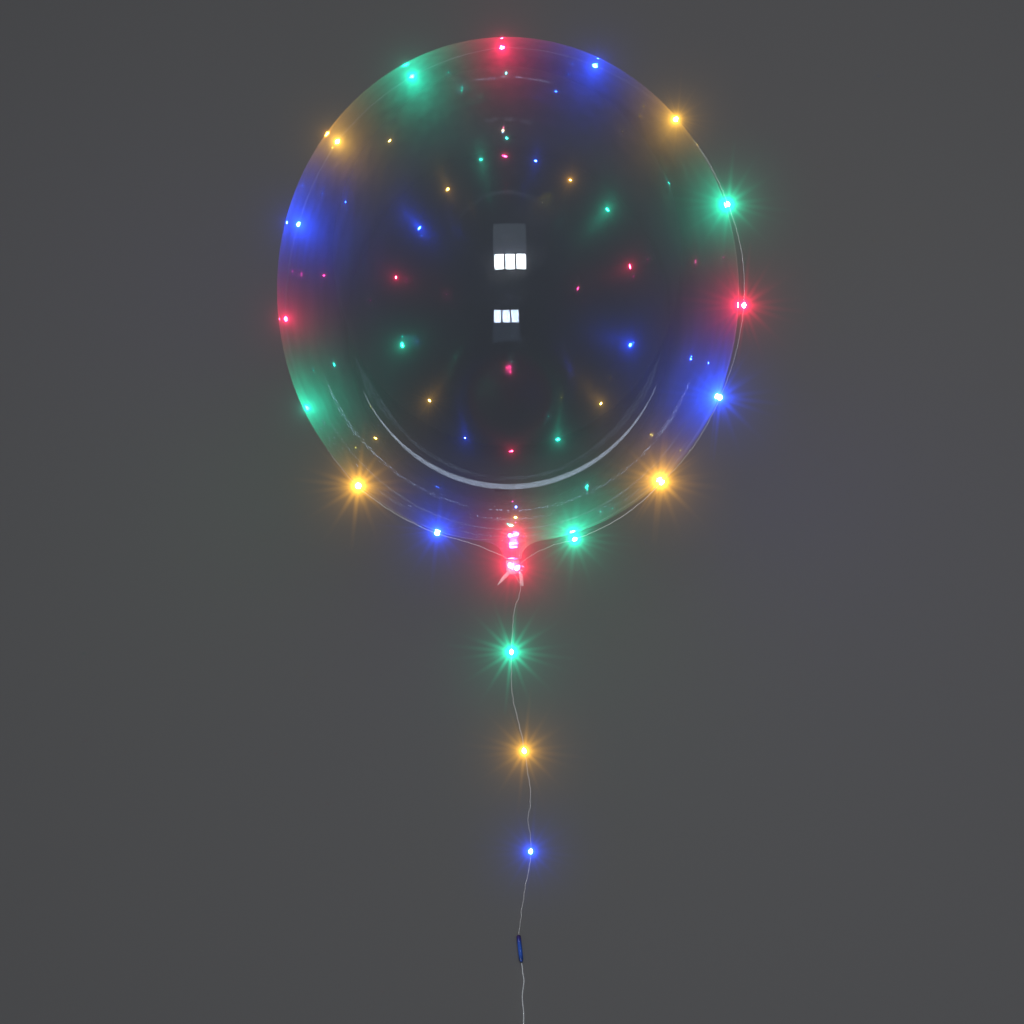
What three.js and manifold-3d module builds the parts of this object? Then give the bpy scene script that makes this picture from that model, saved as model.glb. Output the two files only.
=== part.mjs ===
// A clear bubble balloon wound with a string of small coloured lights, lying on its flank.
// Millimetres, +Z up. The origin is the middle of the flat spot that the balloon rests on.
// The balloon's own axis slopes down towards its neck, which points to -Y, and the string
// runs on from the neck to the floor, through a shrink sleeve to a lead and a battery case.
import * as THREE from "three";
import { mergeVertices } from "three/addons/utils/BufferGeometryUtils.js";
import Module from "manifold-3d";

const wasm = await Module();
wasm.setup();

// Balloon film
const FILM_RADIUS = 230;
const FILM_HALF_LENGTH = 251;
const FILM_SHOULDER = 0.006;
const FILM_SIDES = 48;
const FILM_ROWS = 22;
const AXIS_SLOPE = THREE.MathUtils.degToRad(20);
const REST_SPOT_DEPTH = 4;
const REST_SPOT_CUTTER = 160;

// Neck of the film and the tie under it
const NECK_RADIUS = 8.4;
const NECK_LENGTH = 16;
const NECK_FLARE_RADIUS = 34;
const NECK_FLARE_ROWS = 6;
const NECK_SIDES = 16;
const FIT_GAP = 0.3;
const KNOT_RADIUS = 7.4;
const KNOT_LENGTH = 15;
const TAIL_WIDTH = 3.6;
const TAIL_THICKNESS = 0.9;
const TAIL_REACH = 14;
const LOOP_RADIUS = 2.3;
const LOOP_WIRE_RADIUS = 0.6;

// String of lights
const WIRE_RADIUS = 0.4;
const WIRE_SIDES = 8;
const WIRE_STEPS_PER_PITCH = 4;
const BEAD_RADIUS = 1.8;
const BEAD_LENGTH = 5;
const BEAD_BORE_CLEARANCE = 0.5;
const BEAD_SIDES = 8;
const BEAD_STAND_OFF = BEAD_RADIUS + FIT_GAP + 0.1;
const WIRE_STAND_OFF = WIRE_RADIUS + FIT_GAP + 0.8;

// Sleeve, lead, coil and battery case
const SLEEVE_RADIUS = 2.2;
const SLEEVE_LENGTH = 24;
const SLEEVE_TAPER = 4;
const SLEEVE_SIDES = 12;
const LEAD_RADIUS = 0.7;
const COIL_RADIUS = 7.7;
const COIL_ROWS = 2;
const COIL_SIDES = 24;
const TIE_THICKNESS = 0.5;
const TIE_WIDTH = 2.4;
const CELL_LENGTH = 50.5;
const CELL_DIAMETER = 14.5;
const CELL_COUNT = 2;
const CASE_WALL = 1.6;
const CASE_END_ROOM = 6;
const CASE_SLACK = 0.6;
const CASE_CORNER = 3;
const LID_THICKNESS = 2;

// The film's colours and the four colours of the lights
const clear = { roughness: 0.05, metalness: 0, transparent: true, opacity: 0.35 };
const materials = {
  film: new THREE.MeshStandardMaterial({ color: 0xd8e4e8, ...clear }),
  wire: new THREE.MeshStandardMaterial({ color: 0xb9bcc0, roughness: 0.35, metalness: 0.9 }),
  sleeve: new THREE.MeshStandardMaterial({ color: 0x1f4fa8, roughness: 0.5, metalness: 0 }),
  lead: new THREE.MeshStandardMaterial({ color: 0x8d9298, roughness: 0.4, metalness: 0.2 }),
  tie: new THREE.MeshStandardMaterial({ color: 0x25272a, roughness: 0.6, metalness: 0 }),
  battery_case: new THREE.MeshStandardMaterial({ color: 0x1c1d20, roughness: 0.45, metalness: 0 }),
  blue: new THREE.MeshStandardMaterial({ color: 0x2a48ff, roughness: 0.2, metalness: 0 }),
  yellow: new THREE.MeshStandardMaterial({ color: 0xffb52a, roughness: 0.2, metalness: 0 }),
  green: new THREE.MeshStandardMaterial({ color: 0x1fd08a, roughness: 0.2, metalness: 0 }),
  red: new THREE.MeshStandardMaterial({ color: 0xff2a3c, roughness: 0.2, metalness: 0 }),
};
const LIGHT_ORDER = ["blue", "yellow", "green", "red"];

// Helpers

const point = (x, y, z) => new THREE.Vector3(x, y, z);

function merged(geometry) {
  const bare = geometry.clone();
  bare.deleteAttribute("normal");
  bare.deleteAttribute("uv");
  return mergeVertices(bare, 1e-4);
}

function solid(geometry) {
  const closed = merged(geometry);
  return new wasm.Manifold(
    new wasm.Mesh({
      numProp: 3,
      vertProperties: closed.attributes.position.array,
      triVerts: new Uint32Array(closed.index.array),
    }),
  );
}

function geometryOf(body) {
  const mesh = body.getMesh();
  const geometry = new THREE.BufferGeometry();
  geometry.setAttribute("position", new THREE.BufferAttribute(mesh.vertProperties, 3));
  geometry.setIndex(new THREE.BufferAttribute(mesh.triVerts, 1));
  geometry.computeVertexNormals();
  return geometry;
}

function named(name, geometry, material) {
  const mesh = new THREE.Mesh(geometry, material);
  mesh.name = name;
  return mesh;
}

// A path whose equal steps land on the given points, so that a tube bends exactly there.
class StationPath extends THREE.Curve {
  constructor(stations) {
    super();
    this.stations = stations;
  }
  getPoint(share, target = new THREE.Vector3()) {
    const place = THREE.MathUtils.clamp(share, 0, 1) * (this.stations.length - 1);
    const before = Math.min(Math.floor(place + 1e-9), this.stations.length - 2);
    return target.lerpVectors(
      this.stations[before],
      this.stations[before + 1],
      place - before,
    );
  }
  getPointAt(share, target) {
    return this.getPoint(share, target);
  }
  getTangentAt(share, target) {
    return this.getTangent(share, target);
  }
}

function roundSection(radius, sides) {
  const section = new THREE.Shape();
  for (let side = 0; side < sides; side += 1) {
    const angle = (side * 2 * Math.PI) / sides;
    const x = radius * Math.cos(angle);
    const y = radius * Math.sin(angle);
    if (side === 0) section.moveTo(x, y);
    else section.lineTo(x, y);
  }
  section.closePath();
  return section;
}

function tube(stations, radius, sides) {
  return new THREE.ExtrudeGeometry(roundSection(radius, sides), {
    steps: stations.length - 1,
    extrudePath: new StationPath(stations),
    bevelEnabled: false,
  });
}

function lathe(profile, sides) {
  return new THREE.LatheGeometry(
    profile.map(([radius, height]) => new THREE.Vector2(radius, height)),
    sides,
  );
}

// The upright frame of the balloon: its crown is at +Z, its neck at -Z, and -Y is its front.
const supportHeight = Math.hypot(
  FILM_RADIUS * Math.cos(AXIS_SLOPE),
  FILM_HALF_LENGTH * Math.sin(AXIS_SLOPE),
);
const centreY =
  ((FILM_HALF_LENGTH ** 2 - FILM_RADIUS ** 2) * Math.sin(AXIS_SLOPE) * Math.cos(AXIS_SLOPE)) /
  supportHeight;
const centreZ = supportHeight - REST_SPOT_DEPTH;

const root = new THREE.Group();
const upright = new THREE.Group();
upright.position.set(0, centreY, centreZ);
upright.rotation.x = AXIS_SLOPE - Math.PI / 2;
root.add(upright);

// Balloon: a spheroid that is a little fuller towards the neck, then the gathered neck

function filmRadiusAt(latitude) {
  const fullness = latitude < 0 ? FILM_SHOULDER * Math.sin(2 * latitude) ** 2 : 0;
  return FILM_RADIUS * Math.cos(latitude) * (1 + fullness);
}

function filmHeightAt(latitude) {
  const fullness = latitude < 0 ? FILM_SHOULDER * Math.sin(2 * latitude) ** 2 : 0;
  return FILM_HALF_LENGTH * Math.sin(latitude) * (1 + fullness);
}

const neckEnd = -(FILM_HALF_LENGTH + NECK_LENGTH);

function filmProfile() {
  const flareLatitude = -Math.acos(NECK_FLARE_RADIUS / FILM_RADIUS);
  const flare = new THREE.QuadraticBezierCurve(
    new THREE.Vector2(NECK_RADIUS, neckEnd + 1),
    new THREE.Vector2(NECK_RADIUS + 1, filmHeightAt(flareLatitude) - 2.5),
    new THREE.Vector2(filmRadiusAt(flareLatitude), filmHeightAt(flareLatitude)),
  );
  const profile = [
    [0, neckEnd],
    [NECK_RADIUS, neckEnd],
  ];
  for (const spot of flare.getPoints(NECK_FLARE_ROWS)) profile.push([spot.x, spot.y]);
  for (let row = 1; row < FILM_ROWS; row += 1) {
    const latitude = flareLatitude + ((Math.PI / 2 - flareLatitude) * row) / FILM_ROWS;
    profile.push([filmRadiusAt(latitude), filmHeightAt(latitude)]);
  }
  profile.push([0, FILM_HALF_LENGTH]);
  return profile;
}

function makeBalloon() {
  const body = lathe(filmProfile(), FILM_SIDES).rotateX(Math.PI / 2);
  const below = new THREE.BoxGeometry(REST_SPOT_CUTTER, REST_SPOT_CUTTER, REST_SPOT_CUTTER);
  below.translate(0, 0, -REST_SPOT_CUTTER / 2);
  below.translate(0, -centreY, -centreZ);
  below.rotateX(Math.PI / 2 - AXIS_SLOPE);
  return geometryOf(solid(body).subtract(solid(below)));
}

upright.add(named("balloon", makeBalloon(), materials.film));

// Neck tie: the knotted end of the film, its two cut tails and a small open loop

const knotTop = neckEnd - FIT_GAP;
const knotEnd = knotTop - KNOT_LENGTH;

function knotBody() {
  const shares = [
    [0, 1],
    [0.34, 1],
    [0.78, 0.86],
    [0.92, 0.66],
    [0.84, 0.44],
    [1, 0.24],
    [0.96, 0.08],
    [0.74, 0],
    [0, 0],
  ];
  const profile = shares.map(([out, down]) => [
    KNOT_RADIUS * out,
    knotTop - KNOT_LENGTH * down,
  ]);
  return lathe(profile, NECK_SIDES).rotateX(Math.PI / 2);
}

function tail(outline) {
  const shape = new THREE.Shape(outline.map(([x, z]) => new THREE.Vector2(x, z)));
  const ribbon = new THREE.ExtrudeGeometry(shape, { depth: TAIL_THICKNESS, bevelEnabled: false });
  return ribbon.translate(0, 0, -TAIL_THICKNESS / 2).rotateX(Math.PI / 2);
}

function makeNeckTie() {
  const tailTop = knotEnd + 4;
  const tailTip = knotEnd - TAIL_REACH + 3;
  const pointed = tail([
    [-1, tailTop + 1],
    [-1 - TAIL_WIDTH, tailTop],
    [-KNOT_RADIUS - 2.6, (tailTop + tailTip) / 2 + 0.6],
    [-KNOT_RADIUS - 8.6, tailTip],
    [-KNOT_RADIUS + 0.4, (tailTop + tailTip) / 2 - 1.4],
    [-0.6, tailTop - 3],
  ]);
  const square = tail([
    [4, tailTop + 2],
    [2.8, tailTop - 1],
    [6.4, (tailTop + tailTip) / 2],
    [6.8, tailTip - 1],
    [6.8 + TAIL_WIDTH, tailTip - 1.4],
    [6.4 + TAIL_WIDTH, (tailTop + tailTip) / 2 + 1],
    [7.2, tailTop + 2.2],
  ]);
  const loop = new THREE.TorusGeometry(LOOP_RADIUS, LOOP_WIRE_RADIUS, WIRE_SIDES, NECK_SIDES);
  loop.rotateX(Math.PI / 2).translate(KNOT_RADIUS + LOOP_RADIUS - 1, 0, knotTop - KNOT_LENGTH * 0.6);
  return geometryOf(solid(knotBody()).add(solid(pointed)).add(solid(square)).add(solid(loop)));
}

upright.add(named("neck_tie", makeNeckTie(), materials.film));

// Lights: a drop of resin threaded on the wire, its bore clear of it

function makeBead() {
  const bore = WIRE_RADIUS + BEAD_BORE_CLEARANCE;
  const end = BEAD_LENGTH / 2;
  const shoulder = end - (BEAD_RADIUS - bore) * 0.8;
  const mouth = (bore + BEAD_RADIUS) / 2;
  return lathe(
    [
      [bore, -end],
      [mouth, -end],
      [BEAD_RADIUS, -shoulder],
      [BEAD_RADIUS, shoulder],
      [mouth, end],
      [bore, end],
      [bore, -end],
    ],
    BEAD_SIDES,
  );
}

function addLight(group, number, place, along) {
  const colour = LIGHT_ORDER[(number - 1) % LIGHT_ORDER.length];
  const name = `led_${String(number).padStart(2, "0")}_${colour}`;
  const light = named(name, makeBead(), materials[colour]);
  light.position.copy(place);
  light.quaternion.setFromUnitVectors(point(0, 1, 0), along.clone().normalize());
  group.add(light);
}

// The string round the balloon. A light's clock is its angle in degrees round the balloon
// from the crown, seen from the front, back is how far it lies behind the outline, and slack
// is how far the wire after it bows off the film.
const KNOT_LIGHT_OUT = KNOT_RADIUS + BEAD_STAND_OFF;
const wound = [
  { number: 5, clock: 197.4, back: 0, slack: 0 },
  { number: 6, clock: 218.7, back: 0, slack: 0 },
  { number: 7, clock: 241.7, back: 8.4, slack: 0 },
  { number: 8, clock: 265.1, back: 10.7, slack: 0 },
  { number: 9, clock: 290.1, back: 13.7, slack: 0 },
  { number: 10, clock: 313.2, back: 11.8, slack: 0 },
  { number: 11, clock: 337.4, back: 10.6, slack: 0 },
  { number: 12, clock: 359.6, back: 6.9, slack: 0 },
  { number: 13, clock: 381.8, back: 6.3, slack: 0 },
  { number: 14, clock: 405.1, back: 1.2, slack: 1 },
  { number: 15, clock: 429.2, back: 0, off: 2.4, slack: 2 },
  { number: 16, clock: 454.2, back: 0, off: 4, slack: 0 },
  { number: 17, clock: 478.1, back: -7.6, slack: 1 },
  { number: 18, clock: 502.5, back: -7.6, slack: 1 },
  { number: 19, clock: 525.9, back: 0, off: 4 },
];

// A place over the film, in the upright frame
function overFilm(clock, back, standOff) {
  const round = THREE.MathUtils.degToRad(clock);
  const behind = THREE.MathUtils.degToRad(back);
  const away = point(
    Math.cos(behind) * Math.sin(round),
    Math.sin(behind),
    Math.cos(behind) * Math.cos(round),
  );
  const across = Math.hypot(away.x, away.y);
  const latitude = Math.atan2(away.z / FILM_HALF_LENGTH, across / FILM_RADIUS);
  const reach = Math.hypot(filmRadiusAt(latitude), filmHeightAt(latitude));
  return away.multiplyScalar(reach + standOff);
}

function woundStations() {
  const beadsOff = wound.map((light) => BEAD_STAND_OFF + (light.off ?? 0));
  const stations = [];
  wound.forEach((light, index) => {
    stations.push({
      place: overFilm(light.clock, light.back, beadsOff[index]),
      number: light.number,
    });
    const next = wound[index + 1];
    if (!next) return;
    for (let step = 1; step < WIRE_STEPS_PER_PITCH; step += 1) {
      const share = step / WIRE_STEPS_PER_PITCH;
      const bow = Math.sin(Math.PI * share);
      const ends = THREE.MathUtils.lerp(light.off ?? 0, next.off ?? 0, share);
      const clock = THREE.MathUtils.lerp(light.clock, next.clock, share);
      const back = THREE.MathUtils.lerp(light.back, next.back, share);
      const off = WIRE_STAND_OFF + ends + light.slack * bow;
      stations.push({ place: overFilm(clock, back, off) });
    }
  });
  return stations;
}

// Over the knot the wire crosses its front, with the lights 4 and 20 against it.
function knotSpot(x, down, lift = 0) {
  return point(x, -KNOT_LIGHT_OUT - lift, knotTop - down);
}

const toFirst = [
  { place: knotSpot(0.6, 14) },
  { place: knotSpot(-1, 10) },
  { place: knotSpot(-2.6, 6), number: 4 },
  { place: knotSpot(-4.6, 1.5) },
  { place: point(-8.5, -8.2, neckEnd + 2.5) },
  { place: point(-24, -4.6, neckEnd + 9.6) },
  { place: point(-41, -1.6, neckEnd + 16.4) },
];
const fromLast = [
  { place: point(43.6, -0.8, neckEnd + 14) },
  { place: point(33.3, -2.4, neckEnd + 10) },
  { place: point(26.4, -4, neckEnd + 7.6) },
  { place: point(20.5, -6, neckEnd + 4) },
  { place: point(12.6, -8.6, neckEnd - 0.6) },
  { place: knotSpot(7.4, 4.5) },
  { place: knotSpot(4.6, 8.5), number: 20 },
  { place: knotSpot(2.4, 12) },
];

function addString(group, name, stations, radius, material) {
  const places = stations.map((station) => station.place);
  const wire = tube(places, radius, WIRE_SIDES);
  group.add(named(name, wire, material));
  const path = new StationPath(places);
  stations.forEach((station, index) => {
    if (!station.number) return;
    const along = path.getTangentAt(index / (places.length - 1));
    addLight(group, station.number, station.place, along);
  });
}

addString(
  upright,
  "loop_wire",
  [...toFirst, ...woundStations(), ...fromLast],
  WIRE_RADIUS,
  materials.wire,
);

// The free end of the string, from the knot down to the floor and along it. Its points are
// chosen by hand, in the part's own frame, and the third value of each is its height.
const stringPoints = [
  [1.6, -254.9, 140.6],
  [3.6, -256.8, 137.6],
  [6.6, -260.6, 132.0],
  [7.4, -263.8, 127.6],
  [6.1, -268.6, 121.0],
  [4.7, -273.1, 115.3],
  [1.1, -279.1, 107.9],
  [-0.6, -289.6, 95.6],
  [-1.7, -300.5, 83.9],
  [-2.9, -313.9, 70.6, 3],
  [-3.3, -329.9, 56.6],
  [-3.0, -348.6, 42.3],
  [0.4, -365.2, 31.5],
  [5.6, -385.4, 20.7],
  [8.5, -402.7, 13.3, 2],
  [10.6, -416.0, 9.0],
  [12.7, -431.2, 5.0],
  [14.2, -443.7, 2.8],
  [13.2, -458.2, 1.4],
  [11.0, -470.7, 0.7],
  [12.0, -481.1, 0.6],
  [13.6, -492.1, 1.3],
  [13.1, -504.6, 1.9, 1],
  [12.0, -518.2, 1.2],
  [9.6, -528.4, 0.6],
  [7.0, -540.5, 1.2],
  [5.2, -551.2, 0.6],
  [3.1, -562.8, 1.0],
  [1.3, -575.9, 1.6],
  [0.0, -585.4, 2.3],
  [-0.5, -589.0, 2.3],
];
const sleeveTop = point(-0.6, -589.6, 2.3);
const sleeveAxis = point(2.2, -24, 0).normalize();

const leadPoints = [
  [1.9, -617.2, 2.3],
  [2.5, -621.0, 2.0],
  [3.0, -627.5, 1.2],
  [4.0, -634.9, 0.8],
  [2.4, -646.7, 0.8],
  [2.1, -654.6, 1.4],
  [3.1, -665.4, 0.8],
  [2.9, -677.2, 0.8],
  [3.0, -688.9, 1.2],
  [4.2, -694.6, 2.0],
  [6.2, -698.3, 2.4],
];
const coilMiddle = point(13.2, -704.9, 0);
const leadEndPoints = [
  [6.2, -711.6, 2.4],
  [2.4, -714.6, 2.2],
  [-2.2, -716.6, 3.2],
  [-6.4, -717.6, 5.0],
  [-10.2, -718.0, 6.0],
  [-14.4, -718.0, 6.0],
];
const caseEnd = point(-12, -718, 0);
const LEAD_ENTRY_HEIGHT = 6;

const asStations = (points) =>
  points.map(([x, y, z, number]) => ({ place: point(x, y, z), number }));

addString(root, "string_wire", asStations(stringPoints), WIRE_RADIUS, materials.wire);

// Shrink sleeve over the joint of string and lead, drawn in at its lower end. It is solid
// here, and stops short of the wire and the lead that run on from its two ends.
function makeSleeve() {
  return lathe(
    [
      [0, 0],
      [WIRE_RADIUS * 2, 0],
      [SLEEVE_RADIUS * 0.8, 1.6],
      [SLEEVE_RADIUS, SLEEVE_TAPER],
      [SLEEVE_RADIUS, SLEEVE_LENGTH - SLEEVE_TAPER],
      [LEAD_RADIUS * 1.6, SLEEVE_LENGTH],
      [LEAD_RADIUS * 1.3, SLEEVE_LENGTH + SLEEVE_TAPER - 1],
      [0, SLEEVE_LENGTH + SLEEVE_TAPER - 1],
    ],
    SLEEVE_SIDES,
  );
}

const sleeve = named("splice_sleeve", makeSleeve(), materials.sleeve);
sleeve.position.copy(sleeveTop);
sleeve.quaternion.setFromUnitVectors(point(0, 1, 0), sleeveAxis);
root.add(sleeve);

addString(root, "lead_wire", asStations(leadPoints), LEAD_RADIUS, materials.lead);
addString(root, "lead_end", asStations(leadEndPoints), LEAD_RADIUS, materials.lead);

// The spare lead: a round coil of a few turns, and the tie that holds them
const coilHalf = COIL_ROWS * LEAD_RADIUS;
const coilHeight = TIE_THICKNESS + FIT_GAP + coilHalf;

function makeCoil() {
  const chamfer = LEAD_RADIUS * 0.6;
  const inner = COIL_RADIUS - coilHalf;
  const outer = COIL_RADIUS + coilHalf;
  const ring = lathe(
    [
      [inner + chamfer, -coilHalf],
      [outer - chamfer, -coilHalf],
      [outer, -coilHalf + chamfer],
      [outer, coilHalf - chamfer],
      [outer - chamfer, coilHalf],
      [inner + chamfer, coilHalf],
      [inner, coilHalf - chamfer],
      [inner, -coilHalf + chamfer],
      [inner + chamfer, -coilHalf],
    ],
    COIL_SIDES,
  );
  return ring.rotateX(Math.PI / 2).translate(coilMiddle.x, coilMiddle.y, coilHeight);
}

root.add(named("lead_coil", makeCoil(), materials.lead));

function squareOutline(half) {
  return [
    new THREE.Vector2(-half, -half),
    new THREE.Vector2(half, -half),
    new THREE.Vector2(half, half),
    new THREE.Vector2(-half, half),
  ];
}

function makeCoilTie() {
  const inside = coilHalf + FIT_GAP;
  const band = new THREE.Shape(squareOutline(inside + TIE_THICKNESS));
  band.holes.push(new THREE.Path(squareOutline(inside)));
  const tie = new THREE.ExtrudeGeometry(band, { depth: TIE_WIDTH, bevelEnabled: false });
  tie.translate(0, 0, -TIE_WIDTH / 2).rotateX(Math.PI / 2);
  return tie.translate(coilMiddle.x + COIL_RADIUS, coilMiddle.y, coilHeight);
}

root.add(named("coil_tie", makeCoilTie(), materials.tie));

// Battery case: an open tray for two round cells, and the lid that lies on it
const bayLength = CELL_LENGTH + CASE_END_ROOM;
const bayWidth = CELL_COUNT * CELL_DIAMETER + CASE_SLACK;
const bayDepth = CELL_DIAMETER + CASE_SLACK;
const caseLength = bayLength + 2 * CASE_WALL;
const caseWidth = bayWidth + 2 * CASE_WALL;
const trayHeight = CASE_WALL + bayDepth;
const caseMiddle = point(caseEnd.x - caseLength / 2, caseEnd.y, 0);

function caseOutline(length, width, corner) {
  const shape = new THREE.Shape();
  const x = length / 2;
  const y = width / 2;
  shape.moveTo(-x + corner, -y);
  shape.lineTo(x - corner, -y);
  shape.absarc(x - corner, -y + corner, corner, -Math.PI / 2, 0);
  shape.lineTo(x, y - corner);
  shape.absarc(x - corner, y - corner, corner, 0, Math.PI / 2);
  shape.lineTo(-x + corner, y);
  shape.absarc(-x + corner, y - corner, corner, Math.PI / 2, Math.PI);
  shape.lineTo(-x, -y + corner);
  shape.absarc(-x + corner, -y + corner, corner, Math.PI, 1.5 * Math.PI);
  return shape;
}

function block(outline, height, base) {
  const body = new THREE.ExtrudeGeometry(outline, {
    depth: height,
    bevelEnabled: false,
    curveSegments: 3,
  });
  return body.translate(caseMiddle.x, caseMiddle.y, base);
}

function makeTray() {
  const outer = solid(block(caseOutline(caseLength, caseWidth, CASE_CORNER), trayHeight, 0));
  const bay = new THREE.BoxGeometry(bayLength, bayWidth, 2 * bayDepth);
  bay.translate(caseMiddle.x, caseMiddle.y, CASE_WALL + bayDepth);
  const entry = new THREE.CylinderGeometry(
    LEAD_RADIUS + FIT_GAP + 0.1,
    LEAD_RADIUS + FIT_GAP + 0.1,
    4 * CASE_WALL,
    SLEEVE_SIDES,
  );
  entry.rotateZ(Math.PI / 2).translate(caseEnd.x - CASE_WALL / 2, caseEnd.y, LEAD_ENTRY_HEIGHT);
  return geometryOf(outer.subtract(solid(bay)).subtract(solid(entry)));
}

root.add(named("battery_case", makeTray(), materials.battery_case));
root.add(
  named(
    "battery_lid",
    block(caseOutline(caseLength, caseWidth, CASE_CORNER), LID_THICKNESS, trayHeight + FIT_GAP),
    materials.battery_case,
  ),
);

export default root;
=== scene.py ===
"""A clear bubble balloon wound with a string of small coloured lights, lying on its flank.

Everything is in metres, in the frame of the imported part: +Z up, the balloon's neck towards -Y.
"""

import math

import bmesh
import bpy
from bpy.props import FloatProperty, FloatVectorProperty, IntProperty, PointerProperty
from bpy.types import Operator, Panel, PropertyGroup
from mathutils import Matrix, Vector


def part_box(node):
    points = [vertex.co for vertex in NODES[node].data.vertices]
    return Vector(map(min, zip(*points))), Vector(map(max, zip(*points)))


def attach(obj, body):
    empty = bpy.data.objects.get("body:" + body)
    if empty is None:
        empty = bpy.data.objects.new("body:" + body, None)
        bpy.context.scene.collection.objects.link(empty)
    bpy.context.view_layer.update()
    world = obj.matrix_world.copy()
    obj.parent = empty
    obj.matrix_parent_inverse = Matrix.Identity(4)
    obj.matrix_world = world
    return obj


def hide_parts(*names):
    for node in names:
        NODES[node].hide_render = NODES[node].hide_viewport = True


bl_info = {
    "name": "Lit Bubble Balloon",
    "version": (1, 0, 0),
    "blender": (4, 5, 0),
    "location": "View3D > Sidebar > Balloon",
    "description": "Builds a clear bubble balloon wound with a string of small lights",
    "category": "Object",
}

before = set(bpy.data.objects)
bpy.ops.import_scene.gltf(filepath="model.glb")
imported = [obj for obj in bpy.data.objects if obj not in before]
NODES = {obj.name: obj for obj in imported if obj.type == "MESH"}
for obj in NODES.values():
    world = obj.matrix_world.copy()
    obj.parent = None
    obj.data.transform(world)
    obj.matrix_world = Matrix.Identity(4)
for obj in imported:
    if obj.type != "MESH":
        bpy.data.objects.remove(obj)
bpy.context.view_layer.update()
MM = 0.001

# The balloon's upright frame: its crown is at +Z, its neck at -Z and its front is -Y
AXIS_SLOPE = math.radians(20)
FILM_RADIUS = 0.230
FILM_HALF_LENGTH = 0.251
FILM_SHOULDER = 0.006
REST_SPOT_DEPTH = 0.004
NECK_RADIUS = 0.0084
NECK_LENGTH = 0.016
NECK_FLARE_RADIUS = 0.034
FIT_GAP = 0.0003
KNOT_RADIUS = 0.0074
KNOT_LENGTH = 0.015
SUPPORT_HEIGHT = math.hypot(
    FILM_RADIUS * math.cos(AXIS_SLOPE), FILM_HALF_LENGTH * math.sin(AXIS_SLOPE)
)
# The centre lies off the flat spot, because the balloon is longer than wide and slopes
SHIFT_TIMES_HEIGHT = (
    (FILM_HALF_LENGTH**2 - FILM_RADIUS**2) * math.sin(AXIS_SLOPE) * math.cos(AXIS_SLOPE)
)
CENTRE = Vector((0.0, SHIFT_TIMES_HEIGHT / SUPPORT_HEIGHT, SUPPORT_HEIGHT - REST_SPOT_DEPTH))
TILT = AXIS_SLOPE - math.pi / 2
UPRIGHT = Matrix.Translation(CENTRE) @ Matrix.Rotation(TILT, 4, "X")
NECK_END = -(FILM_HALF_LENGTH + NECK_LENGTH)
KNOT_TOP = NECK_END - FIT_GAP

# The string and its lights
WIRE_RADIUS = 0.0004
BEAD_RADIUS = 0.0018
BEAD_LENGTH = 0.005
BEAD_STAND_OFF = BEAD_RADIUS + FIT_GAP + 0.0001
WIRE_STAND_OFF = WIRE_RADIUS + FIT_GAP + 0.0008
STEPS_PER_PITCH = 4
STRAND_SIDES = 6
# The steps between the points of each smooth path, and how far its kinks reach sideways
FREE_STEP = 0.0012
FREE_KINK = 0.0006
WOUND_STEP = 0.0015
WOUND_KINK = 0.0003
KINK_LENGTHS = (0.0095, 0.0143, 0.0237)
KINK_START = 0.01
# A direction that rises more than this is too steep for a kink to follow
STEEP = 0.7
LEAD_RADIUS = 0.0007
LEAD_SIDES = 10
COIL_RADIUS = 0.0077
COIL_TURNS = 4
COIL_TURN_STEPS = 16
COIL_START = math.radians(135)
COIL_STOP = math.radians(225)
# How many of the coil's crossings to the next lane would fill a turn
COIL_CROSSINGS = 6
LIGHT_ORDER = ("blue", "yellow", "green", "red")
# How strongly the glow painted on the film shows round each drop, as the film lies against it or
# not. It is painted light: emission standing in for the drop's light scattered in the film.
PAINTED_GLOW_SHARES = (
    0.0, 0.0, 0.0, 0.13, 0.3, 0.14, 0.85, 0.3, 1.1, 0.4,
    0.85, 0.6, 0.6, 0.35, 0.5, 0.35, 1.3, 0.25, 0.75, 0.13,
)
# How brightly each drop shines, since the chips in them face different ways
LIGHT_SHARES = (
    0.35, 0.6, 1.5, 0.45, 0.3, 1.0, 0.2, 0.2, 0.3, 0.2,
    0.2, 0.2, 0.2, 2.5, 0.9, 0.9, 1.5, 0.7, 0.7, 0.4,
)
LIGHT_NAMES = [f"led_{n:02d}_{LIGHT_ORDER[(n - 1) % 4]}" for n in range(1, 21)]

# Each wound light: number, clock and back in degrees, further stand-off and slack in millimetres
WOUND = (
    (5, 197.4, 0, 0, 0), (6, 218.7, 0, 0, 0), (7, 241.7, 8.4, 0, 0), (8, 265.1, 10.7, 0, 0),
    (9, 290.1, 13.7, 0, 0), (10, 313.2, 11.8, 0, 0), (11, 337.4, 10.6, 0, 0),
    (12, 359.6, 6.9, 0, 0), (13, 381.8, 6.3, 0, 0), (14, 405.1, 1.2, 0, 1),
    (15, 429.2, 0, 2.4, 2), (16, 454.2, 0, 4, 0), (17, 478.1, -7.6, 0, 1),
    (18, 502.5, -7.6, 0, 1), (19, 525.9, 0, 4, 0),
)

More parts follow.
